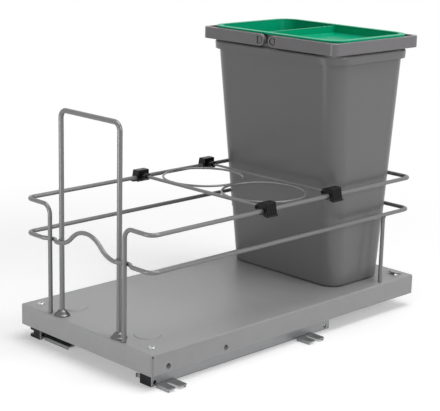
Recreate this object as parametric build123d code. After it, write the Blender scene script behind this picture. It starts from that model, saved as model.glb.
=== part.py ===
from build123d import *
import os

# Pull-out base cabinet organiser: a folded steel tray on two telescopic runners carries a
# wire basket with a handle hoop, two sliding dividers and a waste bin with a lift-out caddy.
# Millimetres. Everything is drawn about the tray: x = 0 is the tray's centre line, y = 0 the
# outside of its front flange and z = 0 the cabinet floor. +Y runs to the back of the cabinet,
# +X is on the right of somebody who stands in front of it.

# ---------------------------------------------------------------- driving dimensions
# Drawing aids: how far a cutter stands past what it cuts, and how near an edge counts as found
overcut = 1.0
near = 0.01

# Tray
tray_width = 220.0
tray_depth = 430.0
tray_top = 39.5
tray_sheet = 1.2
flange_drop = 23.5
tray_edge_radius = 1.8
tray_corner_radius = 2.2
seam_gap = 0.4
relief_hole_radius = 1.1
side_hole_radius = 3.2
side_hole_front = 23.5
side_hole_spacing = 83.0
side_hole_drop = 17.2
disc_radius = 15.0
disc_rise = 0.9
disc_x = 61.0
disc_y = 38.0
lanced_tab_side_inset = 17.0
lanced_tab_width = 10.0
lanced_tab_length = 13.0
lanced_tab_rise = 3.2
lanced_tab_inset = 7.0
lanced_window_margin = 0.8
runner_window_play = 1.6
runner_window_top_gap = 0.6

# Wire basket
rail_wire = 4.8
basket_side_inset = 7.0
basket_rear_inset = 8.2
top_rail_height = 122.5
lower_rail_height = 83.5
post_x = 62.0
post_y = 4.8
wire_bend_radius = 9.0
post_bend_radius = 11.0
lower_rail_front_y = 4.5
hump_rise = 20.0
hump_half_width = 48.0
joggle_flat = 5.0
joggle_run = 9.0
joggle_bend_radius = 5.0
side_post_rear_inset = 48.3
rear_upright_x = 55.0
wire_hole_clearance = 0.1
weld_gap = 0.1

# Handle hoop
hoop_wire = 5.6
hoop_width = 95.7
hoop_height = 228.0
hoop_bend_radius = 8.5
hoop_foot_radius = 8.8
hoop_foot_edge = 1.2
hoop_foot_dome_radius = 7.4
hoop_foot_dome_height = 2.4
hoop_foot_shoulder_radius = 5.4
hoop_foot_shoulder_height = 5.0
hoop_foot_lip = 0.5
hoop_foot_height = 6.8
hoop_screw_radius = 2.0
hoop_screw_length = 12.0

# Screws
screw_head_radius = 4.2
screw_head_height = 2.0
screw_shank_radius = 2.0
screw_length = 11.0
screw_fit = 0.1
screw_tip_gap = 1.0
head_edge_height = 0.8
head_shoulder_radius = 3.4
head_shoulder_height = 1.7
head_flat_radius = 1.9
screw_hole_margin = 0.3
cross_length = 4.4
cross_width = 1.0
cross_depth = 1.1
deck_screw_y = 15.5

# Runners: a cabinet rail, a middle rail and a deck rail, with balls in cages between them
runner_side_inset = 16.5
rail_sheet = 1.2
rail_half_width = 10.2
rail_bend_radius = 2.0
rail_front_y = 6.5
rail_floor_y = 11.6
rail_rear_y = 282.0
rail_lift = 1.4
rail_tall_wall = 21.5
rail_low_wall = 13.0
rail_hole_radius = 2.2
rail_hole_height = 5.0
rail_hole_inset = 7.5
rail_mouth_gap = 2.0
rail_mouth_step = 0.2
middle_length = 260.0
middle_start_y = 24.5
middle_half_width = 6.2
middle_bottom = 6.6
middle_top = 32.4
middle_lip = 2.6
deck_rail_rear_inset = 29.5
deck_rail_wall = 11.5
ball_radius = 1.3
ball_play = 0.1
cage_sheet = 0.7
cage_wall = 6.0
cage_play = 0.45
cage_bend_radius = 1.0
pocket_play = 0.15
balls_per_side = 3
lower_cage_start = 98.0
lower_cage_length = 108.0
upper_cage_start = 150.0
upper_cage_length = 110.0

# Floor feet
foot_sheet = 1.5
foot_width = 25.0
front_foot_y = 12.0
rear_foot_y = 226.0
left_foot_reach = 43.0
right_foot_reach = 20.5
foot_slot_width = 5.5
foot_slot_length = 14.0
foot_tip_radius = 1.6
foot_tongue_gap = 1.0
foot_window_play = 0.2
rivet_radius = 2.0
rivet_head_radius = 3.6
rivet_head_height = 0.8
rivet_inset = 7.0
rivet_fit = 0.05
rivet_root = 0.1

# Front locking clips
clip_width = 18.0
clip_front_y = 7.0
clip_depth = 14.5
clip_bottom = 1.0
clip_rail_gap = 0.5
clip_foot_gap = 0.5
clip_notch_height = 4.8
clip_notch_depth = 6.5
clip_notch_bottom = 4.4
clip_edge_radius = 1.0
clip_face_wall = 1.0
lever_sheet = 1.0
lever_play = 0.2
lever_reach = 7.5
lever_eye_wall = 0.7
lever_curl = 1.5
lever_pin_radius = 0.8
lever_pin_fit = 0.1
lever_pin_press = 0.02
lever_pin_inset = 3.0
lever_pin_depth = 2.7
lever_pin_bite = 2.5

# Sliding dividers
saddle_length = 16.0
saddle_half_width = 5.0
saddle_above = 9.0
saddle_below = 6.0
saddle_flare = 3.0
saddle_toe = 2.0
saddle_toe_rise = 1.2
saddle_root = 1.0
saddle_bore_play = 0.3
saddle_throat = 4.0
saddle_rib_count = 5
saddle_rib_depth = 0.5
saddle_lip_height = 2.2
saddle_edge_radius = 1.2
barrel_radius = 3.6
barrel_length = 8.5
lug_radius = 2.6
lug_length = 2.5
lug_inset = 0.5
lug_eye_radius = 1.2
lug_eye_depth = 2.0
rod_rise = 2.0
rod_fit = 0.1
rod_seat_depth = 1.0
front_rod_wire = 4.0
rear_rod_wire = 3.0
rear_divider_bin_gap = 28.0
ring_wire = 2.6
ring_side_gap = 2.6
ring_gap = 0.8
ring_rear_gap = 6.8
ring_sides = 8

# Bin
bin_height = 293.5
bin_wall = 2.0
bin_side_inset_bottom = 16.5
bin_side_inset_top = 4.0
bin_rear_inset_bottom = 23.5
bin_rear_inset_top = 9.0
bin_depth_bottom = 91.3
bin_depth_top = 135.8
bin_corner_bottom = 19.5
bin_corner_top = 22.0
bin_step_height = 70.0
bin_step_inset = 0.7
bin_foot_radius = 3.5
rim_height = 10.0
rim_proud = 4.8
rim_wall = 1.4
rim_top = 278.2
rim_edge_radius = 2.6
rim_root = 2.0
seat_gap = 0.3

# Bin handles
strap_side_stand = 6.5
strap_front_stand = 7.5
strap_rear_stand = 8.2
strap_height = 13.6
strap_bottom = 280.4
strap_sheet = 2.0
strap_corner_radius = 8.0
strap_flange_side = 4.0
strap_flange_end = 5.4
strap_edge_bevel = 0.6
strap_boss_depth = 4.0
strap_recess_radius = 4.4
strap_recess_depth = 1.6
strap_pivot_x = 10.0
pivot_radius = 1.9
pivot_fit = 0.1
pivot_end_play = 0.2
pivot_head_radius = 3.1
pivot_head_height = 1.0
pivot_head_root = 0.1
pivot_socket_fit = 0.05

# Caddy
caddy_wall = 1.8
caddy_lip_over = 1.6
caddy_lip_height = 2.2
caddy_lip_edge = 1.0
caddy_play = 1.0
caddy_partition_x = -15.0
caddy_partition_wall = 2.4
caddy_partition_drop = 1.4
caddy_deep = 44.0
caddy_shallow = 9.0
caddy_draft = 0.8
caddy_floor_radius = 2.5
caddy_cut_margin = 10.0

# ---------------------------------------------------------------- derived places
deck_underside = tray_top - tray_sheet
top_rail_z = tray_top + top_rail_height
lower_rail_z = tray_top + lower_rail_height
basket_side_x = tray_width / 2 - basket_side_inset
basket_rear_y = tray_depth - basket_rear_inset
side_post_y = basket_rear_y - side_post_rear_inset
lanced_tab_x = tray_width / 2 - lanced_tab_side_inset
rear_upright_y = basket_rear_y - rail_wire - weld_gap
hoop_y = lower_rail_front_y + rail_wire / 2 + hoop_wire / 2 + weld_gap
joggle_y = post_y + rail_wire + weld_gap
hoop_leg_x = hoop_width / 2
runner_x = tray_width / 2 - runner_side_inset
deck_rail_length = tray_depth - deck_rail_rear_inset - middle_start_y
overhang = runner_x + rail_half_width + right_foot_reach - tray_width / 2
rail_base = rail_lift
rail_base_top = rail_base + rail_sheet
foot_top = rail_base_top + foot_sheet
wall_outer = rail_half_width
wall_inner = rail_half_width - rail_sheet
lower_ball_z = middle_bottom + ball_radius + ball_play
upper_ball_z = middle_top - ball_radius - ball_play
ball_x = (middle_half_width + wall_inner) / 2
seat_z = tray_top + seat_gap
bin_half_width_bottom = basket_side_x - bin_side_inset_bottom
bin_half_width_top = basket_side_x - bin_side_inset_top
bin_rear_bottom = basket_rear_y - bin_rear_inset_bottom
bin_rear_top = basket_rear_y - bin_rear_inset_top
bin_front_bottom = bin_rear_bottom - bin_depth_bottom
bin_front_top = bin_rear_top - bin_depth_top
strap_half_width = bin_half_width_top + strap_side_stand
strap_front_y = bin_front_top - strap_front_stand
strap_rear_y = bin_rear_top + strap_rear_stand
rear_divider_y = bin_front_bottom - rear_divider_bin_gap
ring_radius = (basket_side_x - rail_wire / 2 - ring_side_gap - ring_gap / 2 - ring_wire) / 2
ring_front_y = rear_divider_y - rear_rod_wire / 2 - ring_rear_gap - 2 * ring_radius - ring_wire
front_divider_y = ring_front_y - weld_gap - front_rod_wire / 2
rod_z = top_rail_z + rod_rise
strap_pivot_z = tray_top + strap_bottom + strap_height / 2


# ---------------------------------------------------------------- helpers
def block(x_span, y_span, z_span):
    """Box between two values on each axis."""
    size = [high - low for low, high in (x_span, y_span, z_span)]
    centre = [(low + high) / 2 for low, high in (x_span, y_span, z_span)]
    return Pos(*centre) * Box(*size)


def rod(start, end, radius):
    """Round bar between two points."""
    axis = Vector(*end) - Vector(*start)
    return extrude(Plane(origin=start, z_dir=axis) * Circle(radius), amount=axis.length)


def along_y(face, y_low, y_high):
    """Prism of a face drawn in x and z, from y_low to y_high."""
    return Pos(0, y_high, 0) * extrude(Plane.XZ * face, amount=y_high - y_low)


def sweep_wire(path, diameter):
    """Drawn wire along a path of straight runs and tangent bends."""
    start = Plane(origin=path @ 0, z_dir=path % 0)
    return sweep(start * Circle(diameter / 2), path=path)


def both_sides(half):
    """A half and its mirror image across the centre line, joined."""
    return half + mirror(half, about=Plane.YZ)


def left_and_right(piece):
    """A piece and its mirror image, as two separate solids."""
    return Compound(children=[*piece.solids(), *mirror(piece, about=Plane.YZ).solids()])


def vertical_edges(solid):
    return solid.edges().filter_by(Axis.Z)


def folded_channel(x_low, x_high, base_z, left_z, right_z, sheet, bend):
    """Closed outline of a U channel folded from sheet, seen along y. Its base is at base_z and
    its two walls end at left_z and right_z, above the base or below it."""
    way = 1 if left_z > base_z else -1
    inner_z = base_z + way * sheet
    corners = [
        (x_low, left_z),
        (x_low, base_z),
        (x_high, base_z),
        (x_high, right_z),
        (x_high - sheet, right_z),
        (x_high - sheet, inner_z),
        (x_low + sheet, inner_z),
        (x_low + sheet, left_z),
    ]
    inside = bend - sheet
    return make_face(FilletPolyline(*corners, radius=[0, bend, bend, 0, 0, inside, inside, 0], close=True))


def pan_head(radius, height):
    """Domed screw head standing on z = 0."""
    profile = make_face(
        Polyline(
            (0, 0),
            (radius, 0),
            (radius, head_edge_height),
            (head_shoulder_radius, head_shoulder_height),
            (head_flat_radius, height),
            (0, height),
            close=True,
        )
    )
    return revolve(Plane.XZ * profile, Axis.Z)


def cross_screw(shank_radius, length):
    """Pan head screw with its head on z = 0 and its shank down, and a cross recess."""
    screw = pan_head(screw_head_radius, screw_head_height) + rod((0, 0, 0), (0, 0, -length), shank_radius)
    for angle in (0, 90):
        slot = Rot(0, 0, angle) * Box(cross_length, cross_width, 2 * cross_depth)
        screw -= Pos(0, 0, screw_head_height) * slot
    return screw


def save(name, *solids):
    """Writes one sub-part in the finished frame, whose origin is the middle of the footprint."""
    pieces = [solid for part in solids for solid in part.solids()]
    placed = [Pos(-overhang / 2, -tray_depth / 2, 0) * piece for piece in pieces]
    shape = placed[0] if len(placed) == 1 else Compound(children=placed)
    shape.label = name
    export_step(shape, os.path.join("parts", name + ".step"))


# ---------------------------------------------------------------- tray
def tray_shell(inset):
    """Solid envelope of the folded tray, drawn in from the outside by inset."""
    half = tray_width / 2 - inset
    top = tray_top - inset
    bottom = tray_top - flange_drop - inset
    shell = block((-half, half), (inset, tray_depth - inset), (bottom, top))
    shell = fillet(vertical_edges(shell), tray_corner_radius - inset)
    rim = shell.edges().filter_by_position(Axis.Z, top - near, top + near)
    return fillet(rim, tray_edge_radius - inset)


def embossed_disc(x, y):
    """Raised round boss of the deck and the hollow that pressing leaves under it."""
    foot = Plane((x, y, tray_top - near))
    boss = extrude(foot * Circle(disc_radius), amount=disc_rise, taper=45)
    hollow = Pos(0, 0, -tray_sheet) * boss
    return boss, hollow


def lanced_tab():
    """Strip of the deck behind the bin, cut on three sides and bent up as a hook."""
    rear = tray_depth - lanced_tab_inset
    front = rear - lanced_tab_length
    window = block(
        (lanced_tab_x - lanced_tab_width / 2 - lanced_window_margin,
         lanced_tab_x + lanced_tab_width / 2 + lanced_window_margin),
        (front - lanced_window_margin, rear),
        (deck_underside - tray_sheet, tray_top + tray_sheet),
    )
    side = make_face(
        Polyline(
            (rear + tray_sheet, deck_underside),
            (rear + tray_sheet, tray_top),
            (rear, tray_top),
            (front, tray_top + lanced_tab_rise),
            (front, deck_underside + lanced_tab_rise),
            (rear, deck_underside),
            close=True,
        )
    )
    strip = extrude(Plane.YZ * side, amount=lanced_tab_width)
    return window, Pos(lanced_tab_x - lanced_tab_width / 2, 0, 0) * strip


def runner_window(side):
    """Cutter for the way through the rear flange that lets the tray slide forward over a runner."""
    half = rail_half_width + runner_window_play
    return block(
        (side * runner_x - half, side * runner_x + half),
        (tray_depth - tray_sheet - tray_edge_radius, tray_depth + overcut),
        (tray_top - flange_drop - overcut, middle_top + cage_play + cage_sheet + runner_window_top_gap),
    )


def tray():
    deck = tray_shell(0) - tray_shell(tray_sheet)
    reach = tray_width / 2 + overcut
    for y in (side_hole_front, side_hole_front + side_hole_spacing):
        z = tray_top - side_hole_drop
        deck -= rod((-reach, y, z), (reach, y, z), side_hole_radius)
    seam_top = tray_top - tray_edge_radius - relief_hole_radius
    for y in (tray_corner_radius, tray_depth - tray_corner_radius):
        for side in (-1, 1):
            x_span = sorted((side * (tray_width / 2 - tray_sheet - overcut), side * reach))
            y_span = (y - seam_gap / 2, y + seam_gap / 2)
            deck -= block(x_span, y_span, (tray_top - flange_drop - overcut, seam_top))
            deck -= rod((x_span[0], y, seam_top), (x_span[1], y, seam_top), relief_hole_radius)
    for side in (-1, 1):
        boss, hollow = embossed_disc(side * disc_x, disc_y)
        deck = deck + boss - hollow
        window, strip = lanced_tab()
        if side < 0:
            window, strip = (mirror(shape, about=Plane.YZ) for shape in (window, strip))
        deck = deck - window + strip
        holes = [
            (side * post_x, post_y, rail_wire / 2 + wire_hole_clearance),
            (side * basket_side_x, side_post_y, rail_wire / 2 + wire_hole_clearance),
            (side * rear_upright_x, rear_upright_y, rail_wire / 2 + wire_hole_clearance),
            (side * hoop_leg_x, hoop_y, hoop_screw_radius + screw_hole_margin),
            (side * runner_x, deck_screw_y, screw_shank_radius + screw_hole_margin),
        ]
        for x, y, radius in holes:
            deck -= rod((x, y, deck_underside - overcut), (x, y, tray_top + overcut), radius)
        deck -= runner_window(side)
    return deck


def deck_screws():
    return left_and_right(Pos(runner_x, deck_screw_y, tray_top) * cross_screw(screw_shank_radius, screw_length))


# ---------------------------------------------------------------- wire basket
def top_rail():
    """One wire: up as a front post, out to the corner, along the side and round the back."""
    path = FilletPolyline(
        (post_x, post_y, deck_underside),
        (post_x, post_y, top_rail_z),
        (basket_side_x, post_y, top_rail_z),
        (basket_side_x, basket_rear_y, top_rail_z),
        (0, basket_rear_y, top_rail_z),
        radius=[post_bend_radius, wire_bend_radius, wire_bend_radius],
    )
    return both_sides(sweep_wire(path, rail_wire))


def lower_rail():
    """Closed wire ring. Its front run lies in front of the handle's legs, is joggled back behind the
    two front posts, and rises in a finger hump between the legs."""
    front = lower_rail_front_y
    peak = (0, front, lower_rail_z + hump_rise)
    turn = (hump_half_width / 2, front, lower_rail_z + hump_rise / 2)
    foot = (hump_half_width, front, lower_rail_z)
    crown = TangentArc(peak, turn, tangent=(1, 0, 0))
    valley = TangentArc(turn, foot, tangent=crown % 1)
    near_flat = post_x - joggle_flat / 2
    far_flat = post_x + joggle_flat / 2
    ring = FilletPolyline(
        foot,
        (near_flat - joggle_run, front, lower_rail_z),
        (near_flat, joggle_y, lower_rail_z),
        (far_flat, joggle_y, lower_rail_z),
        (far_flat + joggle_run, front, lower_rail_z),
        (basket_side_x, front, lower_rail_z),
        (basket_side_x, basket_rear_y, lower_rail_z),
        (0, basket_rear_y, lower_rail_z),
        radius=[joggle_bend_radius] * 4 + [wire_bend_radius] * 2,
    )
    path = Wire([*crown.edges(), *valley.edges(), *ring.edges()])
    return both_sides(sweep_wire(path, rail_wire))


def side_posts():
    """Short rear posts under the lower rail."""
    top = lower_rail_z - rail_wire / 2
    foot = (basket_side_x, side_post_y, deck_underside)
    return left_and_right(rod(foot, (basket_side_x, side_post_y, top), rail_wire / 2))


def rear_uprights():
    """Two uprights behind the bin, welded inside the rear runs of both rails."""
    foot = (rear_upright_x, rear_upright_y, deck_underside)
    return left_and_right(rod(foot, (rear_upright_x, rear_upright_y, top_rail_z), rail_wire / 2))


# ---------------------------------------------------------------- handle hoop
def handle_hoop():
    top = tray_top + hoop_height
    path = FilletPolyline(
        (hoop_leg_x, hoop_y, tray_top),
        (hoop_leg_x, hoop_y, top),
        (0, hoop_y, top),
        radius=hoop_bend_radius,
    )
    leg = sweep_wire(path, hoop_wire)
    bore_top = deck_underside + hoop_screw_length + screw_tip_gap
    leg -= rod((hoop_leg_x, hoop_y, tray_top - overcut), (hoop_leg_x, hoop_y, bore_top), hoop_screw_radius + screw_fit)
    return both_sides(leg)


def handle_feet():
    """Turned collars round the hoop's legs, domed above a thin flange."""
    bore = hoop_wire / 2 + wire_hole_clearance
    profile = make_face(
        Polyline(
            (bore, 0),
            (hoop_foot_radius, 0),
            (hoop_foot_radius, hoop_foot_edge),
            (hoop_foot_dome_radius, hoop_foot_dome_height),
            (hoop_foot_shoulder_radius, hoop_foot_shoulder_height),
            (bore + hoop_foot_lip, hoop_foot_height),
            (bore, hoop_foot_height),
            close=True,
        )
    )
    collar = revolve(Plane.XZ * profile, Axis.Z)
    return left_and_right(Pos(hoop_leg_x, hoop_y, tray_top) * collar)


def handle_screws():
    """Screws from under the deck up into the hoop's legs."""
    head = rod((0, 0, -screw_head_height), (0, 0, 0), screw_head_radius)
    screw = head + rod((0, 0, 0), (0, 0, hoop_screw_length), hoop_screw_radius)
    return left_and_right(Pos(hoop_leg_x, hoop_y, deck_underside) * screw)


# ---------------------------------------------------------------- runners
def cabinet_rail(side):
    """Fixed rail: a channel with its tall wall on the right, which a foot's tongue passes through."""
    centre = side * runner_x
    outline = folded_channel(
        -rail_half_width, rail_half_width, rail_base,
        rail_low_wall, rail_tall_wall, rail_sheet, rail_bend_radius,
    )
    rail = along_y(outline, rail_front_y, rail_rear_y)
    rail -= block(
        (-rail_half_width - overcut, wall_inner),
        (rail_front_y - overcut, rail_floor_y),
        (rail_base - overcut, rail_low_wall + overcut),
    )
    rail -= block(
        (-rail_half_width - overcut, -wall_inner + (rail_bend_radius - rail_sheet)),
        (rail_front_y - overcut, middle_start_y - rail_mouth_gap),
        (rail_base_top + rail_mouth_step, rail_low_wall + overcut),
    )
    for foot_y in (front_foot_y, rear_foot_y):
        rail -= block(
            (0, rail_half_width + overcut),
            (foot_y - foot_window_play, foot_y + foot_width + foot_window_play),
            (rail_base_top, foot_top + foot_window_play),
        )
        y = foot_y + foot_width - rivet_inset
        rail -= rod((0, y, rail_base - overcut), (0, y, rail_base_top + overcut), rivet_radius + rivet_fit)
    for y in (rail_front_y + rail_bend_radius + rail_hole_radius, rail_rear_y - rail_hole_inset):
        z = rail_hole_height + rail_base
        rail -= rod((0, y, z), (rail_half_width + overcut, y, z), rail_hole_radius)
    return Pos(centre, 0, 0) * rail


def middle_rail(side):
    """Middle rail: a channel, open below, with its edges turned in."""
    outline = folded_channel(
        -middle_half_width, middle_half_width, middle_top,
        middle_bottom, middle_bottom, rail_sheet, rail_bend_radius,
    )
    rail = along_y(outline, middle_start_y, middle_start_y + middle_length)
    y_span = (middle_start_y, middle_start_y + middle_length)
    edge = middle_half_width - rail_sheet
    for x_span in ((-edge, -edge + middle_lip), (edge - middle_lip, edge)):
        rail += block(x_span, y_span, (middle_bottom, middle_bottom + rail_sheet))
    return Pos(side * runner_x, 0, 0) * rail


def deck_rail(side):
    """Upper rail: a shallow channel, open below, fixed to the underside of the deck."""
    outline = folded_channel(
        -rail_half_width, rail_half_width, deck_underside,
        deck_underside - deck_rail_wall, deck_underside - deck_rail_wall, rail_sheet, rail_bend_radius,
    )
    return Pos(side * runner_x, 0, 0) * along_y(outline, middle_start_y, middle_start_y + deck_rail_length)


def ball_places(start, length):
    """Places of the balls along a cage."""
    step = length / balls_per_side
    return [start + step * (index + 0.5) for index in range(balls_per_side)]


def cage(side, start, length, back_z, edge_z, ball_z):
    """Thin channel with a row of pockets in each wall."""
    half = ball_x + cage_sheet / 2
    outline = folded_channel(-half, half, back_z, edge_z, edge_z, cage_sheet, cage_bend_radius)
    strip = along_y(outline, start, start + length)
    pocket = ball_radius + pocket_play
    for y in ball_places(start, length):
        strip -= block((-half - overcut, half + overcut), (y - pocket, y + pocket), (ball_z - pocket, ball_z + pocket))
    return Pos(side * runner_x, 0, 0) * strip


def ball():
    """Ball drawn with eighteen flats, because the real ones are many and small."""
    cube = Box(2 * ball_radius, 2 * ball_radius, 2 * ball_radius)
    return cube & (Rot(45, 0, 0) * cube) & (Rot(0, 45, 0) * cube) & (Rot(0, 0, 45) * cube)


def balls(side, start, length, ball_z):
    """Steel balls, one in each pocket."""
    one = ball().solid()
    places = [(x, y) for x in (-ball_x, ball_x) for y in ball_places(start, length)]
    return Compound(children=[Pos(side * runner_x + x, y, ball_z) * one for x, y in places])


# ---------------------------------------------------------------- floor feet
def foot(side, foot_y, reach):
    """Pressed foot: a tongue riveted in the rail, and outside it a forked bracket on two ribs."""
    inner = -wall_inner + foot_tongue_gap
    tip = wall_outer + reach
    y_span = (foot_y, foot_y + foot_width)
    tongue = block((inner, tip), y_span, (rail_base_top, foot_top))
    slot_start = tip - min(foot_slot_length, reach - foot_slot_width)
    slot_y = foot_y + foot_width / 2
    tongue -= block(
        (slot_start, tip + overcut),
        (slot_y - foot_slot_width / 2, slot_y + foot_slot_width / 2),
        (rail_base_top - overcut, foot_top + overcut),
    )
    tongue -= rod(
        (slot_start, slot_y, rail_base_top - overcut),
        (slot_start, slot_y, foot_top + overcut),
        foot_slot_width / 2,
    )
    plate = fillet(vertical_edges(tongue).sort_by(Axis.X)[-4:], foot_tip_radius)
    for rib_y in (foot_y, foot_y + foot_width - foot_sheet):
        rib = block((wall_outer + foot_window_play, tip - foot_tip_radius), (rib_y, rib_y + foot_sheet), (0, foot_top))
        plate += rib
    y = foot_y + foot_width - rivet_inset
    plate -= rod((0, y, rail_base_top - overcut), (0, y, foot_top + overcut), rivet_radius + rivet_fit)
    return Pos(side * runner_x, 0, 0) * plate


def foot_rivets():
    """A rivet through each foot's tongue and the rail's base. The slot in the rail's wall keeps the
    foot from turning."""
    shank = rod((0, 0, rail_base - rivet_root), (0, 0, foot_top + rivet_root), rivet_radius)
    lower = rod((0, 0, rail_base - rivet_head_height), (0, 0, rail_base), rivet_head_radius)
    upper = rod((0, 0, foot_top), (0, 0, foot_top + rivet_head_height), rivet_head_radius)
    rivet = shank + lower + upper
    rivets = []
    for side in (-1, 1):
        for foot_y in (front_foot_y, rear_foot_y):
            y = foot_y + foot_width - rivet_inset
            rivets.append(Pos(side * runner_x, y, 0) * rivet.solid())
    return Compound(children=rivets)


# ---------------------------------------------------------------- front clips
clip_right = wall_inner - clip_rail_gap
clip_left = clip_right - clip_width
clip_rear_y = clip_front_y + clip_depth
clip_underside = foot_top + rivet_head_height + clip_foot_gap
skirt_rear_y = min(front_foot_y, rail_floor_y) - clip_foot_gap
notch_top = clip_notch_bottom + clip_notch_height
lever_pin_x = clip_left + lever_pin_inset
lever_pin_y = clip_front_y + lever_pin_depth
lever_pin_low = clip_notch_bottom - lever_pin_bite
lever_pin_high = notch_top + lever_pin_bite


def front_clip(side, has_lever):
    """Moulded clip under the deck's front corner. Its skirt drops in front of the foot, and its left
    side has a notch. On one of the two clips it holds the release lever and is closed in front."""
    body = block((clip_left, clip_right), (clip_front_y, clip_rear_y), (clip_underside, deck_underside))
    body += block((clip_left, clip_right), (clip_front_y, skirt_rear_y), (clip_bottom, deck_underside))
    front_edges = vertical_edges(body).filter_by_position(Axis.Y, clip_front_y - near, clip_front_y + near)
    body = fillet(front_edges, clip_edge_radius)
    notch_front = clip_front_y + clip_face_wall if has_lever else clip_front_y - overcut
    body -= block(
        (clip_left - overcut, clip_left + clip_notch_depth),
        (notch_front, clip_rear_y + overcut),
        (clip_notch_bottom, notch_top),
    )
    if has_lever:
        body -= rod(
            (lever_pin_x, lever_pin_y, lever_pin_low),
            (lever_pin_x, lever_pin_y, lever_pin_high),
            lever_pin_radius + lever_pin_press,
        )
    body -= rod(
        (0, deck_screw_y, deck_underside - screw_length),
        (0, deck_screw_y, deck_underside + overcut),
        screw_shank_radius + screw_fit,
    )
    return Pos(side * runner_x, 0, 0) * body


def release_lever():
    """Strip lever that turns on an upright pin in the right clip's notch. Its free end is a thumb
    tab with a short curl."""
    low = clip_notch_bottom + lever_play
    high = notch_top - lever_play
    eye_radius = lever_pin_radius + lever_pin_fit + lever_eye_wall
    half = lever_sheet / 2
    end = clip_left - lever_reach
    lever = rod((lever_pin_x, lever_pin_y, low), (lever_pin_x, lever_pin_y, high), eye_radius)
    lever += block((end, lever_pin_x), (lever_pin_y - half, lever_pin_y + half), (low, high))
    lever += block((end, end + lever_sheet), (lever_pin_y - lever_curl, lever_pin_y), (low, high))
    lever -= rod(
        (lever_pin_x, lever_pin_y, low - overcut),
        (lever_pin_x, lever_pin_y, high + overcut),
        lever_pin_radius + lever_pin_fit,
    )
    return Pos(runner_x, 0, 0) * lever


def lever_pin():
    """Upright pin of the release lever, pressed in the clip above and below the notch."""
    pin = rod((lever_pin_x, lever_pin_y, lever_pin_low), (lever_pin_x, lever_pin_y, lever_pin_high), lever_pin_radius)
    return Pos(runner_x, 0, 0) * pin


# ---------------------------------------------------------------- sliding dividers
def saddle_clip(divider_y, rod_wire, side):
    """Moulded clip that sits over a side rail: a snap bore, a ribbed outer wall with a lip, and a
    barrel on the inside for the end of the divider's rod."""
    wire = rail_wire / 2
    bore = wire + saddle_bore_play
    outer = saddle_half_width
    skirt = outer + saddle_flare
    section = make_face(
        Polyline(
            (-outer, -wire),
            (-outer, saddle_above),
            (outer, saddle_above),
            (skirt, -saddle_below),
            (-outer + saddle_toe, -saddle_below + saddle_toe_rise),
            close=True,
        )
    )
    y_span = (divider_y - saddle_length / 2, divider_y + saddle_length / 2)
    body = along_y(section, *y_span)
    along = body.edges().filter_by(Axis.Y).filter_by_position(Axis.Z, saddle_above - near, saddle_above + near)
    body = fillet(along, saddle_edge_radius)
    pitch = saddle_length / saddle_rib_count
    slope = saddle_flare / (saddle_above + saddle_below)
    rib_top = saddle_above - saddle_edge_radius
    rib_top_x = outer + slope * saddle_edge_radius
    rib = make_face(
        Polyline(
            (rib_top_x - saddle_rib_depth, rib_top),
            (rib_top_x + saddle_rib_depth, rib_top),
            (skirt + saddle_rib_depth, -saddle_below),
            (skirt - saddle_rib_depth, -saddle_below),
            close=True,
        )
    )
    for index in range(saddle_rib_count):
        y = y_span[0] + pitch * (index + 0.25)
        body += along_y(rib, y, y + pitch / 2)
    lip_z = (-saddle_below, -saddle_below + saddle_lip_height)
    body += block((outer, skirt + 2 * saddle_rib_depth), y_span, lip_z)
    barrel_start = -outer - barrel_length
    barrel = rod((barrel_start, divider_y, rod_rise), (-outer + saddle_root, divider_y, rod_rise), barrel_radius)
    lug_y = divider_y - barrel_radius - lug_length
    lug_x = barrel_start + lug_radius + lug_inset
    lug = rod((lug_x, lug_y, rod_rise), (lug_x, divider_y, rod_rise), lug_radius)
    body = body + barrel + lug
    body -= rod((lug_x, lug_y - overcut, rod_rise), (lug_x, lug_y + lug_eye_depth, rod_rise), lug_eye_radius)
    body -= rod((0, y_span[0] - overcut, 0), (0, y_span[1] + overcut, 0), bore)
    throat = saddle_throat / 2
    body -= block((-throat, throat), (y_span[0] - overcut, y_span[1] + overcut), (-saddle_below - overcut, 0))
    rod_bore = rod_wire / 2 + rod_fit
    body -= rod((barrel_start - overcut, divider_y, rod_rise), (-bore - rod_seat_depth, divider_y, rod_rise), rod_bore)
    body = Pos(basket_side_x, 0, top_rail_z) * body
    return body if side > 0 else mirror(body, about=Plane.YZ)


def divider_rod(divider_y, rod_wire):
    """Straight wire from barrel to barrel."""
    end = basket_side_x - rail_wire / 2 - saddle_bore_play - rod_seat_depth
    return rod((-end, divider_y, rod_z), (end, divider_y, rod_z), rod_wire / 2)


def bottle_ring(side):
    """Wire ring welded to the back of the front rod. The thin wire is drawn eight-sided."""
    x = side * (ring_radius + ring_wire / 2 + ring_gap / 2)
    y = front_divider_y + front_rod_wire / 2 + weld_gap + ring_wire / 2 + ring_radius
    section = Pos(ring_radius, 0) * RegularPolygon(ring_wire / 2, ring_sides, major_radius=False)
    return Pos(x, y, rod_z) * revolve(Plane.XZ * section, Axis.Z)


# ---------------------------------------------------------------- bin
def bin_section(height, inset):
    """Rounded rectangle of the bin's outside at a height above its foot, drawn in by inset."""
    share = height / bin_height
    half = bin_half_width_bottom + share * (bin_half_width_top - bin_half_width_bottom)
    front = bin_front_bottom + share * (bin_front_top - bin_front_bottom)
    rear = bin_rear_bottom + share * (bin_rear_top - bin_rear_bottom)
    corner = bin_corner_bottom + share * (bin_corner_top - bin_corner_bottom)
    outline = RectangleRounded(2 * (half - inset), rear - front - 2 * inset, corner - inset)
    return Pos(0, (front + rear) / 2, seat_z + height) * outline


def bin_frustum(low, high, inset):
    """Tapered solid between two heights of the bin."""
    return loft([bin_section(low, inset), bin_section(high, inset)], ruled=True)


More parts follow.
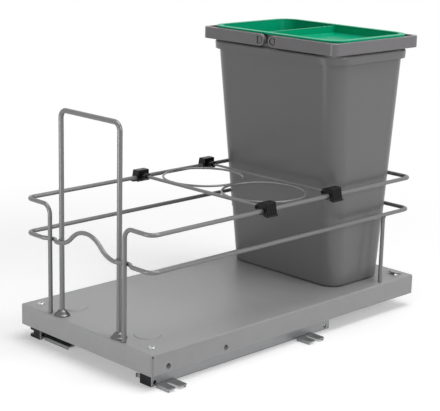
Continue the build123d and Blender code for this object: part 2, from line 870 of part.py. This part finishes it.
def bin_body():
    """Blow-out thin bin with a stacking step, a turned-down rim and a neck inside the handles."""
    foot_part = bin_frustum(0, bin_step_height, bin_step_inset)
    foot_part = fillet(foot_part.faces().sort_by(Axis.Z)[0].edges(), bin_foot_radius)
    outside = foot_part + bin_frustum(bin_step_height, bin_height, 0)
    rim_bottom = rim_top - rim_height
    rim = bin_frustum(rim_bottom, rim_top, -rim_proud)
    rim = fillet(rim.faces().sort_by(Axis.Z)[-1].edges(), rim_edge_radius)
    rim -= bin_frustum(rim_bottom - overcut, rim_top - rim_wall, -rim_proud + rim_wall)
    outside += rim
    body = outside + bin_frustum(rim_bottom - rim_root, rim_top, 0)
    body -= bin_frustum(bin_wall, bin_height + overcut, bin_wall + bin_step_inset)
    for x in (-strap_pivot_x, strap_pivot_x):
        ends = ((x, strap_front_y, strap_pivot_z), (x, strap_rear_y, strap_pivot_z))
        body -= rod(*ends, pivot_radius + pivot_socket_fit)
    return body


def neck_front(z):
    """y of the neck's front and rear face at a height above the cabinet floor."""
    share = (z - seat_z) / bin_height
    front = bin_front_bottom + share * (bin_front_top - bin_front_bottom)
    rear = bin_rear_bottom + share * (bin_rear_top - bin_rear_bottom)
    return front, rear


def handle_pivots():
    """Four headed pins, two in front and two behind, that the handles swing on. Each head lies in
    the recess of a handle's end."""
    front, rear = neck_front(strap_pivot_z)
    solids = []
    for x in (-strap_pivot_x, strap_pivot_x):
        for neck_y, face_y, way in ((front + bin_wall, strap_front_y, -1), (rear - bin_wall, strap_rear_y, 1)):
            head_y = face_y - way * (strap_recess_depth - pivot_end_play)
            shank = rod((x, neck_y, strap_pivot_z), (x, head_y + way * pivot_head_root, strap_pivot_z), pivot_radius)
            head_end = (x, head_y + way * pivot_head_height, strap_pivot_z)
            head = rod((x, head_y, strap_pivot_z), head_end, pivot_head_radius)
            solids.append((shank + head).solid())
    return Compound(children=solids)


def strap_ring(inset_side, inset_end, z_span):
    """Solid rounded rectangle inside the handles' outer faces, over a height."""
    width = 2 * (strap_half_width - inset_side)
    front = strap_front_y + inset_end
    rear = strap_rear_y - inset_end
    corner = strap_corner_radius - strap_sheet if inset_side else strap_corner_radius
    outline = Pos(0, (front + rear) / 2, z_span[0]) * RectangleRounded(width, rear - front, corner)
    return extrude(outline, amount=z_span[1] - z_span[0])


def pivot_recess(face_y, way):
    """Cutter for the D-shaped recess round a pin's head. Its straight side is away from the gap."""
    y_span = sorted((face_y - way * strap_recess_depth, face_y + way * overcut))
    x_span = (-strap_pivot_x - strap_recess_radius, -strap_pivot_x)
    z_span = (strap_pivot_z - strap_recess_radius, strap_pivot_z + strap_recess_radius)
    disc = rod(
        (-strap_pivot_x, y_span[0], strap_pivot_z),
        (-strap_pivot_x, y_span[1], strap_pivot_z),
        strap_recess_radius,
    )
    return disc + block(x_span, y_span, z_span)


def bin_handle(side):
    """U-shaped handle of angle section that lies round half of the neck. Each end is a round boss
    that swings on a pin through the neck."""
    low = tray_top + strap_bottom
    high = low + strap_height
    outside = strap_ring(0, 0, (low, high))
    outside = chamfer(outside.faces().sort_by(Axis.Z)[-1].edges(), strap_edge_bevel)
    skirt = outside - strap_ring(strap_sheet, strap_sheet, (low - overcut, high - strap_sheet))
    frame = skirt - strap_ring(strap_flange_side, strap_flange_end, (low - overcut, high + overcut))
    reach = strap_half_width + overcut
    y_span = (strap_front_y - overcut, strap_rear_y + overcut)
    handle = frame & block((-reach, -strap_pivot_x), y_span, (low - overcut, high + overcut))
    for face_y, way in ((strap_front_y, -1), (strap_rear_y, 1)):
        face = (-strap_pivot_x, face_y, strap_pivot_z)
        back = (-strap_pivot_x, face_y - way * strap_boss_depth, strap_pivot_z)
        handle += rod(face, back, strap_height / 2)
    for face_y, way in ((strap_front_y, -1), (strap_rear_y, 1)):
        handle -= pivot_recess(face_y, way)
    handle -= rod(
        (-strap_pivot_x, y_span[0], strap_pivot_z),
        (-strap_pivot_x, y_span[1], strap_pivot_z),
        pivot_radius + pivot_fit,
    )
    return handle if side < 0 else mirror(handle, about=Plane.YZ)


# ---------------------------------------------------------------- caddy
def caddy_block(depth, inset):
    """Solid from the bin's mouth down to a depth, which tapers a little more than the bin."""
    top = bin_section(bin_height, inset)
    bottom = bin_section(bin_height - depth, inset + caddy_draft * depth / caddy_deep)
    return loft([top, bottom], ruled=True)


def caddy():
    """Lift-out green insert: a lip over the bin's mouth, a deep bay on the left and a shallow one
    on the right of a partition."""
    outer = bin_wall + bin_step_inset + caddy_play
    inner = outer + caddy_wall
    mouth = seat_z + bin_height
    split = caddy_partition_x
    half = caddy_partition_wall / 2
    wide = bin_half_width_top + caddy_cut_margin
    y_span = (bin_front_top - caddy_cut_margin, bin_rear_top + caddy_cut_margin)
    z_span = (mouth - caddy_deep - caddy_cut_margin, mouth + caddy_lip_height + caddy_cut_margin)
    left_side = block((-wide, split + half), y_span, z_span)
    left_bay = block((-wide, split - half), y_span, z_span)
    right_bay = block((split + half, wide), y_span, z_span)
    lip_base = bin_section(bin_height, -caddy_lip_over)
    lip = extrude(lip_base, amount=caddy_lip_height)
    lip = fillet(lip.faces().sort_by(Axis.Z)[-1].edges(), caddy_lip_edge)
    shallow = caddy_block(caddy_shallow + caddy_wall, outer)
    deep = caddy_block(caddy_deep, outer) & left_side
    throat = extrude(bin_section(bin_height, inner), amount=caddy_lip_height + overcut)
    partition_top = mouth + caddy_lip_height - caddy_partition_drop
    cut_left = (throat + caddy_block(caddy_deep - caddy_wall, inner)) & left_bay
    cut_right = (throat + caddy_block(caddy_shallow, inner)) & right_bay
    cut_left = fillet(cut_left.faces().sort_by(Axis.Z)[0].edges(), caddy_floor_radius)
    cut_right = fillet(cut_right.faces().sort_by(Axis.Z)[0].edges(), caddy_floor_radius)
    partition_span = (split - half - overcut, split + half + overcut)
    over_partition = throat & block(partition_span, y_span, (partition_top, z_span[1]))
    return lip + shallow + deep - cut_left - cut_right - over_partition


# ---------------------------------------------------------------- assembly
def main():
    os.makedirs("parts", exist_ok=True)
    save("tray", tray())
    save("deck_screws", deck_screws())
    save("top_rail", top_rail())
    save("lower_rail", lower_rail())
    save("side_posts", side_posts())
    save("rear_uprights", rear_uprights())
    save("handle_hoop", handle_hoop())
    save("handle_feet", handle_feet())
    save("handle_screws", handle_screws())
    for side, hand, reach in ((-1, "left", left_foot_reach), (1, "right", right_foot_reach)):
        save("cabinet_rail_" + hand, cabinet_rail(side))
        save("middle_rail_" + hand, middle_rail(side))
        save("deck_rail_" + hand, deck_rail(side))
        lower_back = foot_top + rivet_head_height + cage_play
        lower_edge = lower_back + cage_wall
        upper_back = middle_top + cage_play + cage_sheet
        upper_edge = upper_back - cage_wall
        save("lower_cage_" + hand,
             cage(side, lower_cage_start, lower_cage_length, lower_back, lower_edge, lower_ball_z))
        save("upper_cage_" + hand,
             cage(side, upper_cage_start, upper_cage_length, upper_back, upper_edge, upper_ball_z))
        save("lower_balls_" + hand, balls(side, lower_cage_start, lower_cage_length, lower_ball_z))
        save("upper_balls_" + hand, balls(side, upper_cage_start, upper_cage_length, upper_ball_z))
        save("front_foot_" + hand, foot(side, front_foot_y, reach))
        save("rear_foot_" + hand, foot(side, rear_foot_y, reach))
        save("front_clip_" + hand, front_clip(side, has_lever=side > 0))
        save("front_divider_clip_" + hand, saddle_clip(front_divider_y, front_rod_wire, side))
        save("rear_divider_clip_" + hand, saddle_clip(rear_divider_y, rear_rod_wire, side))
        save("bottle_ring_" + hand, bottle_ring(side))
        save("bin_handle_" + hand, bin_handle(side))
    save("foot_rivets", foot_rivets())
    save("release_lever", release_lever())
    save("lever_pin", lever_pin())
    save("front_divider_rod", divider_rod(front_divider_y, front_rod_wire))
    save("rear_divider_rod", divider_rod(rear_divider_y, rear_rod_wire))
    save("bin_body", bin_body())
    save("handle_pivots", handle_pivots())
    save("caddy", caddy())


main()
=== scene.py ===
# %% [markdown]
# A pull-out organiser for a narrow base cabinet: a coated steel tray on two runners, with a wire
# basket, a handle hoop, two sliding dividers and a waste bin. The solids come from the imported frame
# and stay where they are. This lesson gives them their finishes, adds the small made things that a
# drawing leaves out, and sets up the light and the camera.

# %% Load the frame
import math

import bpy
from mathutils import Matrix, Vector


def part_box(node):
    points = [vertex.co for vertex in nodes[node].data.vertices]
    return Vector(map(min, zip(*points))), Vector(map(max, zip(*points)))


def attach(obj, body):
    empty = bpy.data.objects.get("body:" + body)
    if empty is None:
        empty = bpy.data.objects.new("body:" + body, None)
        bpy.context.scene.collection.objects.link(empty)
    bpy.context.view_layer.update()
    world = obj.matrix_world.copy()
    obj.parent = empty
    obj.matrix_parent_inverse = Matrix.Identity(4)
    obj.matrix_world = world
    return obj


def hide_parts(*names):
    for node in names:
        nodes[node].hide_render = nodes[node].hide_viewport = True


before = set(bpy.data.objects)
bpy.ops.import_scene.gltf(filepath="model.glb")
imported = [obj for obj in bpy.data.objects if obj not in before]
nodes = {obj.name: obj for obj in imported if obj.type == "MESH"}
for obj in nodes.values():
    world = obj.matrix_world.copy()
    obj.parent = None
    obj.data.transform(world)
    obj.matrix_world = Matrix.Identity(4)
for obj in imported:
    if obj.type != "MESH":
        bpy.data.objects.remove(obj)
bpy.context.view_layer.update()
MM = 0.001
bpy.ops.object.select_all(action="DESELECT")

# %% [markdown]
# Colours are written as the hex values that a designer would pick on a screen. A shader works with
# linear light, so one function turns one into the other. A second function adds a shader node with
# its settings and links, so that each material below reads from top to bottom. The last one lets
# noise vary the gloss and the colour, as it does in every finish here. The values of a noise
# texture rarely leave the span from 0.3 to 0.7, so that span is stretched over the gloss's range.

# %% Colour and node helpers
NOISE_LOW, NOISE_HIGH = 0.3, 0.7


def linear(hex_code):
    """Linear red, green, blue and alpha of an sRGB hex colour."""
    channels = [int(hex_code[i:i + 2], 16) / 255 for i in (1, 3, 5)]
    curve = [c / 12.92 if c <= 0.04045 else ((c + 0.055) / 1.055) ** 2.4 for c in channels]
    return (*curve, 1.0)


def add(tree, kind, settings=None, inputs=None):
    """Adds one node. settings are its properties, and inputs its sockets by name or number, each
    given as a plain value or as the output to link from."""
    node = tree.nodes.new(kind)
    for name, value in (settings or {}).items():
        setattr(node, name, value)
    for name, value in (inputs or {}).items():
        if isinstance(value, bpy.types.NodeSocket):
            tree.links.new(value, node.inputs[name])
        else:
            node.inputs[name].default_value = value
    return node


def surface(name, inputs):
    """A new material with an empty tree but for its output, and the inputs of its shader."""
    material = bpy.data.materials.new(name)
    material.use_nodes = True
    tree = material.node_tree
    tree.nodes.clear()
    values = inputs(tree)
    shader = add(tree, "ShaderNodeBsdfPrincipled", None, values)
    add(tree, "ShaderNodeOutputMaterial", None, {"Surface": shader.outputs["BSDF"]})
    print("material", name, len(tree.nodes), "nodes")
    return material


def vary(tree, gloss_noise, tint_noise, roughness_span, hex_dark, hex_light):
    """The roughness and the colour, each driven by a noise texture, as two outputs to link from."""
    gloss = add(tree, "ShaderNodeMapRange", None, {
        "Value": gloss_noise.outputs["Fac"], "From Min": NOISE_LOW, "From Max": NOISE_HIGH,
        "To Min": roughness_span[0], "To Max": roughness_span[1]})
    tint = add(tree, "ShaderNodeMix", {"data_type": "RGBA"}, {
        0: tint_noise.outputs["Fac"], 6: linear(hex_dark), 7: linear(hex_light)})
    return gloss.outputs["Result"], tint.outputs[2]


# %% [markdown]
# Powder coat is paint that is sprayed on as dust and baked. It flows out to a satin skin with a
# faint orange peel, whose lumps are about 2 mm across and a few hundredths of a millimetre high.
# Tray, wires and hoop are all coated in one grey. The wires and hoop get a darker copy of it, which
# is
# painted shade: it stands for the shading on a thin round wire. A wire's coat lies thinner and
# smoother, so it shines more. Paint isn't metallic, but a third of it gives the wires the firm
# streaks of light that the real ones show. Both finishes come from one recipe, because only its
# values differ.

# %% Grey powder-coated steel
PEEL_LUMP = 2.2 * MM
FILM_PATCH = 14 * MM


def powder_coated_steel(name, hex_dark, hex_light, roughness, metallic, peel_height, drift):
    def inputs(tree):
        place = add(tree, "ShaderNodeTexCoord").outputs["Object"]
        peel = add(tree, "ShaderNodeTexNoise", None,
                   {"Vector": place, "Scale": 1 / PEEL_LUMP, "Detail": 3.0})
        film = add(tree, "ShaderNodeTexNoise", None,
                   {"Vector": place, "Scale": 1 / FILM_PATCH, "Detail": 2.0})
        span = (roughness - drift, roughness + drift)
        gloss, tint = vary(tree, film, film, span, hex_dark, hex_light)
        bump = add(tree, "ShaderNodeBump", None, {
            "Height": peel.outputs["Fac"], "Distance": peel_height, "Strength": 0.5})
        return {"Base Color": tint, "Roughness": gloss, "Metallic": metallic,
                "Normal": bump.outputs["Normal"]}
    return surface(name, inputs)


coated_sheet = powder_coated_steel(
    "powder_coated_sheet", "#949495", "#9D9D9E",
    roughness=0.42, metallic=0.0, peel_height=0.05 * MM, drift=0.05)
# The wires' greys are set darker than the sheet's, as painted shade for the shading on thin round
# wire.
wire_coat_painted_shade = powder_coated_steel(
    "wire_powder_coat_painted_shade", "#7A7A7B", "#7D7D7E",
    roughness=0.3, metallic=0.35, peel_height=0.001 * MM, drift=0.01)

# %% [markdown]
# Runner strip is cold rolled steel with a zinc plate. Rolling leaves fine streaks along its length,
# which is the Y axis here, and the plate blurs them to a soft metal sheen. Real streaks are a tenth
# of a millimetre wide. They are drawn eight times as coarse, so that a render shows them, and forty
# times as long as they are wide.

# %% Zinc-plated strip
STREAK_WIDTH = 0.8 * MM
STREAK_SQUEEZE = 0.025
PLATE_CLOUD = 9 * MM


def plated_strip(name, hex_dark, hex_light, roughness):
    def inputs(tree):
        place = add(tree, "ShaderNodeTexCoord").outputs["Object"]
        along = add(tree, "ShaderNodeMapping", None,
                    {"Vector": place, "Scale": (1.0, STREAK_SQUEEZE, 1.0)})
        streak = add(tree, "ShaderNodeTexNoise", None, {
            "Vector": along.outputs["Vector"], "Scale": 1 / STREAK_WIDTH, "Detail": 2.0})
        cloud = add(tree, "ShaderNodeTexNoise", None,
                    {"Vector": place, "Scale": 1 / PLATE_CLOUD, "Detail": 2.0})
        span = (roughness - 0.05, roughness + 0.06)
        gloss, tint = vary(tree, streak, cloud, span, hex_dark, hex_light)
        bump = add(tree, "ShaderNodeBump", None, {
            "Height": streak.outputs["Fac"], "Distance": 0.02 * MM, "Strength": 0.3})
        return {"Base Color": tint, "Roughness": gloss, "Metallic": 1.0,
                "Normal": bump.outputs["Normal"]}
    return surface(name, inputs)


zinc_strip = plated_strip("zinc_plated_strip", "#8C8D8E", "#969798", roughness=0.44)

# %% [markdown]
# Small turned and pressed steel pieces carry bright zinc, a bluish mirror with a slight haze in
# patches of a millimetre or two. Screws and rivets are bright, and the pressed lever is duller. The
# collars at the hoop's feet are turned and then blackened a little, and the bearing balls are
# polished.

# %% Bright zinc, turned collars and polished balls
HAZE_PATCH = 1.5 * MM
HAZE_DRIFT = 0.03


def hazed_metal(name, hex_dark, hex_light, roughness):
    def inputs(tree):
        place = add(tree, "ShaderNodeTexCoord").outputs["Object"]
        haze = add(tree, "ShaderNodeTexNoise", None,
                   {"Vector": place, "Scale": 1 / HAZE_PATCH, "Detail": 2.0})
        span = (roughness - HAZE_DRIFT, roughness + HAZE_DRIFT)
        gloss, tint = vary(tree, haze, haze, span, hex_dark, hex_light)
        return {"Base Color": tint, "Roughness": gloss, "Metallic": 1.0}
    return surface(name, inputs)


screw_zinc = hazed_metal("bright_zinc_screw", "#BDBEC0", "#C9CACC", roughness=0.28)
collar_steel = hazed_metal("turned_dark_collar", "#626263", "#666667", roughness=0.3)
lever_steel = hazed_metal("dull_zinc_lever", "#8E8F91", "#9A9B9D", roughness=0.4)
bearing_steel = hazed_metal("bearing_ball_steel", "#C4C5C7", "#CECFD1", roughness=0.12)

# %% [markdown]
# The clips are moulded nylon, black right through. Glass fibre in it leaves a fine dull grain, and
# the mould's polished edges a soft shine. Black plastic reflects little, so its specular is low.

# %% Moulded black nylon
FIBRE_GRAIN = 0.7 * MM


def moulded_nylon(name, hex_dark, hex_light, roughness, specular):
    def inputs(tree):
        place = add(tree, "ShaderNodeTexCoord").outputs["Object"]
        fibre = add(tree, "ShaderNodeTexNoise", None,
                    {"Vector": place, "Scale": 1 / FIBRE_GRAIN, "Detail": 3.0})
        span = (roughness - 0.07, roughness + 0.08)
        gloss, tint = vary(tree, fibre, fibre, span, hex_dark, hex_light)
        bump = add(tree, "ShaderNodeBump", None, {
            "Height": fibre.outputs["Fac"], "Distance": 0.04 * MM, "Strength": 0.5})
        return {"Base Color": tint, "Roughness": gloss, "Specular IOR Level": specular,
                "Normal": bump.outputs["Normal"]}
    return surface(name, inputs)


black_nylon = moulded_nylon(
    "moulded_black_nylon", "#070707", "#111112", roughness=0.34, specular=0.22)

# %% [markdown]
# Bin, handles and caddy are injection moulded polypropylene. It has a low waxy sheen, a
# spark-eroded grain under a millimetre across, and faint flow marks that run up the walls, where
# the melt ran.

# %% Moulded polypropylene
FLOW_MARK = 22 * MM
FLOW_STRETCH = 0.14
ERODED_GRAIN = 0.9 * MM
FLOW_DRIFT = 0.02


def moulded_polypropylene(name, hex_dark, hex_light, roughness, specular):
    def inputs(tree):
        place = add(tree, "ShaderNodeTexCoord").outputs["Object"]
        upright = add(tree, "ShaderNodeMapping", None,
                      {"Vector": place, "Scale": (1.0, 1.0, FLOW_STRETCH)})
        flow = add(tree, "ShaderNodeTexNoise", None, {
            "Vector": upright.outputs["Vector"], "Scale": 1 / FLOW_MARK, "Detail": 2.0})
        eroded = add(tree, "ShaderNodeTexNoise", None,
                     {"Vector": place, "Scale": 1 / ERODED_GRAIN, "Detail": 3.0})
        span = (roughness - FLOW_DRIFT, roughness + FLOW_DRIFT)
        gloss, tint = vary(tree, flow, flow, span, hex_dark, hex_light)
        bump = add(tree, "ShaderNodeBump", None, {
            "Height": eroded.outputs["Fac"], "Distance": 0.03 * MM, "Strength": 0.4})
        return {"Base Color": tint, "Roughness": gloss, "Specular IOR Level": specular,
                "Normal": bump.outputs["Normal"]}
    return surface(name, inputs)


bin_grey = moulded_polypropylene(
    "grey_polypropylene_bin", "#6F6E6F", "#727172", roughness=0.3, specular=0.4)
handle_grey = moulded_polypropylene(
    "grey_polypropylene_handle", "#727072", "#757375", roughness=0.3, specular=0.45)
caddy_green = moulded_polypropylene(
    "green_polypropylene", "#009E73", "#00A67C", roughness=0.34, specular=0.12)

# %% [markdown]
# Each solid of the frame takes one finish. What isn't named here is runner strip.

# %% Finishes on the frame's solids
finishes = {
    coated_sheet: ["tray"],
    wire_coat_painted_shade: ["top_rail", "lower_rail", "side_posts", "rear_uprights", "handle_hoop",
                  "front_divider_rod", "rear_divider_rod", "bottle_ring_left", "bottle_ring_right"],
    collar_steel: ["handle_feet"],
    screw_zinc: ["deck_screws", "handle_screws", "lever_pin", "foot_rivets"],
    lever_steel: ["release_lever"],
    bearing_steel: ["lower_balls_left", "lower_balls_right",
                    "upper_balls_left", "upper_balls_right"],
    black_nylon: ["front_clip_left", "front_clip_right", "front_divider_clip_left",
                  "front_divider_clip_right", "rear_divider_clip_left", "rear_divider_clip_right"],
    bin_grey: ["bin_body", "handle_pivots"],
    handle_grey: ["bin_handle_left", "bin_handle_right"],
    caddy_green: ["caddy"],
}
given = {name: material for material, names in finishes.items() for name in names}
for name, solid in nodes.items():
    solid.data.materials.clear()
    solid.data.materials.append(given.get(name, zinc_strip))
print("zinc strip on", sorted(set(nodes) - set(given)))

# %% [markdown]
# A bottle ring is thin wire, bent round and butt-welded at the back. The drawing gives its wire
# eight flat sides, to stay light. A torus of the same size is smooth, and a small swelling at its
# back stands for the weld. It takes the place of the drawn ring.

# %% Bottle rings
RING_WIRE = 2.6 * MM
WELD_REACH = 2.2 * MM
WELD_SWELL = 0.22 * MM
STEPS_ROUND_RING = 120
STEPS_ROUND_WIRE = 16


def select_near(piece, point, reach):
    """Selects the piece's vertices within reach of a point and returns how many there are."""
    bpy.context.view_layer.objects.active = piece
    bpy.ops.object.mode_set(mode="EDIT")
    bpy.ops.mesh.select_all(action="DESELECT")
    bpy.ops.object.mode_set(mode="OBJECT")
    close = [v for v in piece.data.vertices if (v.co - point).length < reach]
    for vertex in close:
        vertex.select = True
    bpy.ops.object.mode_set(mode="EDIT")
    return len(close)


def smooth_ring(hand):
    low, high = (Vector(corner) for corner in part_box("bottle_ring_" + hand))
    centre = (low + high) / 2
    reach = (high.x - low.x) / 2 - RING_WIRE / 2
    bpy.ops.mesh.primitive_torus_add(
        major_radius=reach, minor_radius=RING_WIRE / 2,
        major_segments=STEPS_ROUND_RING, minor_segments=STEPS_ROUND_WIRE)
    ring = bpy.context.object
    ring.name = "smooth_ring_" + hand
    swollen = select_near(ring, Vector((0, reach, 0)), WELD_REACH)
    bpy.ops.mesh.select_mode(type="VERT")
    bpy.ops.transform.shrink_fatten(value=WELD_SWELL)
    bpy.ops.object.mode_set(mode="OBJECT")
    ring.location = centre
    bpy.ops.object.transform_apply(location=True, rotation=True, scale=True)
    bpy.ops.object.shade_smooth()
    ring.data.materials.append(wire_coat_painted_shade)
    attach(ring, "front_divider")
    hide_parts("bottle_ring_" + hand)
    ring.select_set(False)
    print(ring.name, "radius mm", round(reach / MM, 2), "swollen vertices", swollen)


for hand in ("left", "right"):
    smooth_ring(hand)

# %% [markdown]
# Where two wires cross they are resistance-welded, and a little metal is squeezed out beside the
# joint. One such bead is modelled from a sphere: it is drawn out to its length, a bisect trims its
# underside flat, and a slight wave along it keeps it from looking turned. The wave's turn is the
# angle, in radians, that it goes through over the bead's length. Every joint then gets a copy of
# the bead, laid in its groove.

# %% One weld bead
BEAD_LENGTH = 5.2 * MM
BEAD_WIDTH = 1.7 * MM
BEAD_WAVE_HEIGHT = 0.09 * BEAD_WIDTH
BEAD_WAVE_TURN = 22


def weld_bead():
    bpy.ops.mesh.primitive_uv_sphere_add(segments=20, ring_count=12, radius=BEAD_WIDTH / 2)
    bead = bpy.context.object
    bead.name = "weld_bead"
    bpy.ops.object.mode_set(mode="EDIT")
    bpy.ops.mesh.select_all(action="SELECT")
    bpy.ops.transform.resize(value=(BEAD_LENGTH / BEAD_WIDTH, 1.0, 1.0))
    bpy.ops.mesh.bisect(
        plane_co=(0, 0, -BEAD_WIDTH / 4), plane_no=(0, 0, -1), use_fill=True, clear_outer=True)
    bpy.ops.object.mode_set(mode="OBJECT")
    for vertex in bead.data.vertices:
        share = vertex.co.x / BEAD_LENGTH
        vertex.co.z += BEAD_WAVE_HEIGHT * math.sin(BEAD_WAVE_TURN * share)
    bpy.ops.object.shade_smooth_by_angle(angle=math.radians(50))
    bead.data.materials.append(wire_coat_painted_shade)
    bead.select_set(False)
    print("bead faces", len(bead.data.polygons))
    return bead


bead = weld_bead()

# %% [markdown]
# The places follow the boxes of the drawn wires, so a bead always lies where the wires meet. The
# box of the top rail doesn't show where its front posts stand, so their two places are given from
# the tray: how far each post stands from its middle, and how far the back of a post lies from its
# front edge. The lower rail touches the posts there. The beads at the side posts and at the rings
# are sunk a little below the top of the wire.

# %% Beads in their grooves
POST_X = 62.0 * MM
POST_BACK = 7.2 * MM
POST_SINK = 0.5 * MM
RING_SINK = 0.3 * MM

tray_low, tray_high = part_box("tray")
hoop_low, hoop_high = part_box("handle_hoop")
side_low, side_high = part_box("side_posts")
rear_low, rear_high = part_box("rear_uprights")
lower_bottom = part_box("lower_rail")[0][2]
middle_x = (tray_low[0] + tray_high[0]) / 2
hoop_wire = hoop_high[1] - hoop_low[1]
rail_wire = side_high[1] - side_low[1]
lower_top = lower_bottom + rail_wire


def pair(low, high, wire):
    """The x of the two upright wires of a pair, from the pair's box."""
    return (low[0] + wire / 2, high[0] - wire / 2)


grooves = (
    (pair(hoop_low, hoop_high, hoop_wire), hoop_low[1], lower_top),
    ((middle_x - POST_X, middle_x + POST_X), tray_low[1] + POST_BACK, lower_top),
    (pair(side_low, side_high, rail_wire), side_high[1], side_high[2] - POST_SINK),
    (pair(rear_low, rear_high, rail_wire), rear_high[1], lower_top),
)
joints = [("carriage", (x, y, z)) for both_x, y, z in grooves for x in both_x]
for hand in ("left", "right"):
    low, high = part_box("bottle_ring_" + hand)
    joints.append(("front_divider", ((low[0] + high[0]) / 2, low[1], high[2] - RING_SINK)))

welds = {}
for body, spot in joints:
    mesh = bead.data.copy()
    mesh.transform(Matrix.Translation(spot))
    copy = bpy.data.objects.new("weld_of_" + body, mesh)
    bpy.context.scene.collection.objects.link(copy)
    welds.setdefault(body, []).append(copy)
bpy.data.objects.remove(bead)
for body, copies in welds.items():
    bpy.ops.object.select_all(action="DESELECT")
    for copy in copies:
        copy.select_set(True)
    bpy.context.view_layer.objects.active = copies[0]
    bpy.ops.object.join()
    copies[0].name = "weld_beads_" + body
    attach(copies[0], body)
    print(copies[0].name, len(copies[0].data.polygons), "faces")
bpy.ops.object.select_all(action="DESELECT")

# %% [markdown]
# The floor is a plain pale sheet. Near the object it is an ordinary matt surface that catches the
# shadow, with a slight glow that only the camera and reflections see. Further out it fades to the
# white of the background, so that no horizon shows. The glow and the white light nothing.

# %% Floor and world
FLOOR_SIZE = 14.0
FADE_START = 0.30
FADE_END = 0.80
FLOOR_LIFT = 0.34
FLOOR_COLOUR = "#E6E6E6"


def seen_directly(tree):
    """1 for camera, glossy and transmission rays, and 0 for the light that falls on things."""
    path = add(tree, "ShaderNodeLightPath").outputs
    first = add(tree, "ShaderNodeMath", {"operation": "MAXIMUM"},
                {0: path["Is Camera Ray"], 1: path["Is Glossy Ray"]})
    both = add(tree, "ShaderNodeMath", {"operation": "MAXIMUM"},
               {0: first.outputs[0], 1: path["Is Transmission Ray"]})
    return both.outputs[0]


def pale_floor():
    material = bpy.data.materials.new("pale_studio_floor")
    material.use_nodes = True
    tree = material.node_tree
    tree.nodes.clear()
    place = add(tree, "ShaderNodeTexCoord").outputs["Object"]
    reach = add(tree, "ShaderNodeVectorMath", {"operation": "LENGTH"}, {0: place}).outputs["Value"]
    far = add(tree, "ShaderNodeMapRange", {"interpolation_type": "SMOOTHSTEP"},
              {"Value": reach, "From Min": FADE_START, "From Max": FADE_END}).outputs["Result"]
    direct = seen_directly(tree)
    white = add(tree, "ShaderNodeEmission", None, {"Strength": 1.0}).outputs[0]
    matt = add(tree, "ShaderNodeBsdfDiffuse", None, {"Color": linear(FLOOR_COLOUR)}).outputs[0]
    lift = add(tree, "ShaderNodeMath", {"operation": "MULTIPLY"},
               {0: direct, 1: FLOOR_LIFT}).outputs[0]
    glow = add(tree, "ShaderNodeEmission", None, {"Strength": lift}).outputs[0]
    near = add(tree, "ShaderNodeAddShader", None, {0: matt, 1: glow}).outputs[0]
    share = add(tree, "ShaderNodeMath", {"operation": "MULTIPLY"}, {0: far, 1: direct}).outputs[0]
    mix = add(tree, "ShaderNodeMixShader", None, {0: share, 1: near, 2: white}).outputs[0]
    add(tree, "ShaderNodeOutputMaterial", None, {"Surface": mix})
    return material


bpy.ops.mesh.primitive_plane_add(size=FLOOR_SIZE)
floor = bpy.context.object
floor.name = "studio_floor"
floor.data.materials.append(pale_floor())

AMBIENT = 0.22
world = bpy.data.worlds.new("studio_world")
bpy.context.scene.world = world
world.use_nodes = True
background = world.node_tree.nodes["Background"]
direct = seen_directly(world.node_tree)
level = add(world.node_tree, "ShaderNodeMapRange", None,
            {"Value": direct, "To Min": AMBIENT, "To Max": 1.0}).outputs["Result"]
world.node_tree.links.new(level, background.inputs["Strength"])
background.inputs["Color"].default_value = (1.0, 1.0, 1.0, 1.0)

# %% [markdown]
# The light is plain: a large soft box overhead, one on the right that brightens the bin's side, and
# a small low one in front, which reaches the tray's front edge and fades before it reaches the bin.

# %% Lights
CENTRE = (0.0, 0.0, 0.16)
SOFT_BOXES = (
    ("top_light", (0.3, 0.2, 1.8), CENTRE, 1.2, 20.0),
    ("right_light", (1.8, 0.5, 0.9), CENTRE, 1.0, 12.5),
    ("front_light", (-0.1, -0.85, 0.12), (0.0, -0.2, 0.04), 0.35, 2.0),
)


def soft_box(name, position, target, size, power):
    light = bpy.data.lights.new(name, "AREA")
    light.shape = "SQUARE"
    light.size = size
    light.energy = power
    box = bpy.data.objects.new(name, light)
    bpy.context.scene.collection.objects.link(box)
    box.location = position
    aim = Vector(target) - Vector(position)
    box.rotation_euler = aim.to_track_quat("-Z", "Y").to_euler()
    box.visible_camera = False


for facts in SOFT_BOXES:
    soft_box(*facts)

# %% [markdown]
# The camera stands at the front right, 14 degrees up, with a long lens, as the photograph was
# taken. Its place was worked out from where the tray's corners lie in the photograph and the tray's
# size in the drawing. Its axes are built from the angles: back points away from the object, and the
# roll turns the other two about it.

# %% Camera
CAMERA_PLACE = Vector((1041.9, -1056.1, 514.5)) * MM
AZIMUTH = math.radians(45.17)
ELEVATION = math.radians(14.14)
ROLL = math.radians(1.36)
LENS = 108.47

back = Vector((
    math.sin(AZIMUTH) * math.cos(ELEVATION),
    -math.cos(AZIMUTH) * math.cos(ELEVATION),
    math.sin(ELEVATION),
))
right = (-back).cross(Vector((0, 0, 1))).normalized()
up = right.cross(-back)
turned_right = math.cos(ROLL) * right + math.sin(ROLL) * up
turned_up = -math.sin(ROLL) * right + math.cos(ROLL) * up
camera_data = bpy.data.cameras.new("camera")
camera_data.lens = LENS
camera = bpy.data.objects.new("camera", camera_data)
bpy.context.scene.collection.objects.link(camera)
axes = Matrix((turned_right, turned_up, back)).transposed().to_4x4()
camera.matrix_world = Matrix.Translation(CAMERA_PLACE) @ axes
bpy.context.scene.camera = camera
bpy.context.scene.view_settings.view_transform = "Standard"
